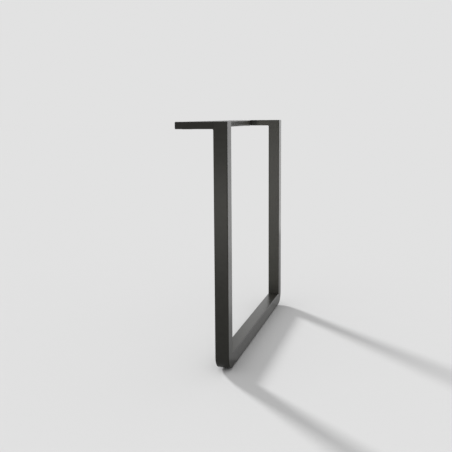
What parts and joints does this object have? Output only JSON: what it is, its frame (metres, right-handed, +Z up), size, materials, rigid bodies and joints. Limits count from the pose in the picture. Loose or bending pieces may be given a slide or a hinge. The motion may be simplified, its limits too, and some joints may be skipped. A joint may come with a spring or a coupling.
{
  "type": "table leg",
  "caption": "Loop table leg of welded square steel tube: two posts joined by a floor runner with round corners, and a flat tube bracket at the top that screws under a tabletop.",
  "frame": {"origin": "on the floor, at the middle of the leg's footprint box", "axes": "+Z up, +Y from the front post to the rear post, +X outwards, away from the middle of the table"},
  "size_m": [0.15, 0.7, 0.7],
  "materials": {
    "powder_coat": "graphite black powder coat, fine satin texture",
    "plug_plastic": "black moulded polyethylene, matt",
    "glide_plastic": "dark moulded polyamide, smooth"
  },
  "bodies": {
    "root": {"leg_loop": "powder_coat", "front_arm": "powder_coat", "rear_arm": "powder_coat", "cross_bar": "powder_coat", "front_post_cap": "powder_coat", "rear_post_cap": "powder_coat", "front_arm_plug": "plug_plastic", "rear_arm_plug": "plug_plastic", "front_glide": "glide_plastic", "rear_glide": "glide_plastic"}
  },
  "joints": []
}
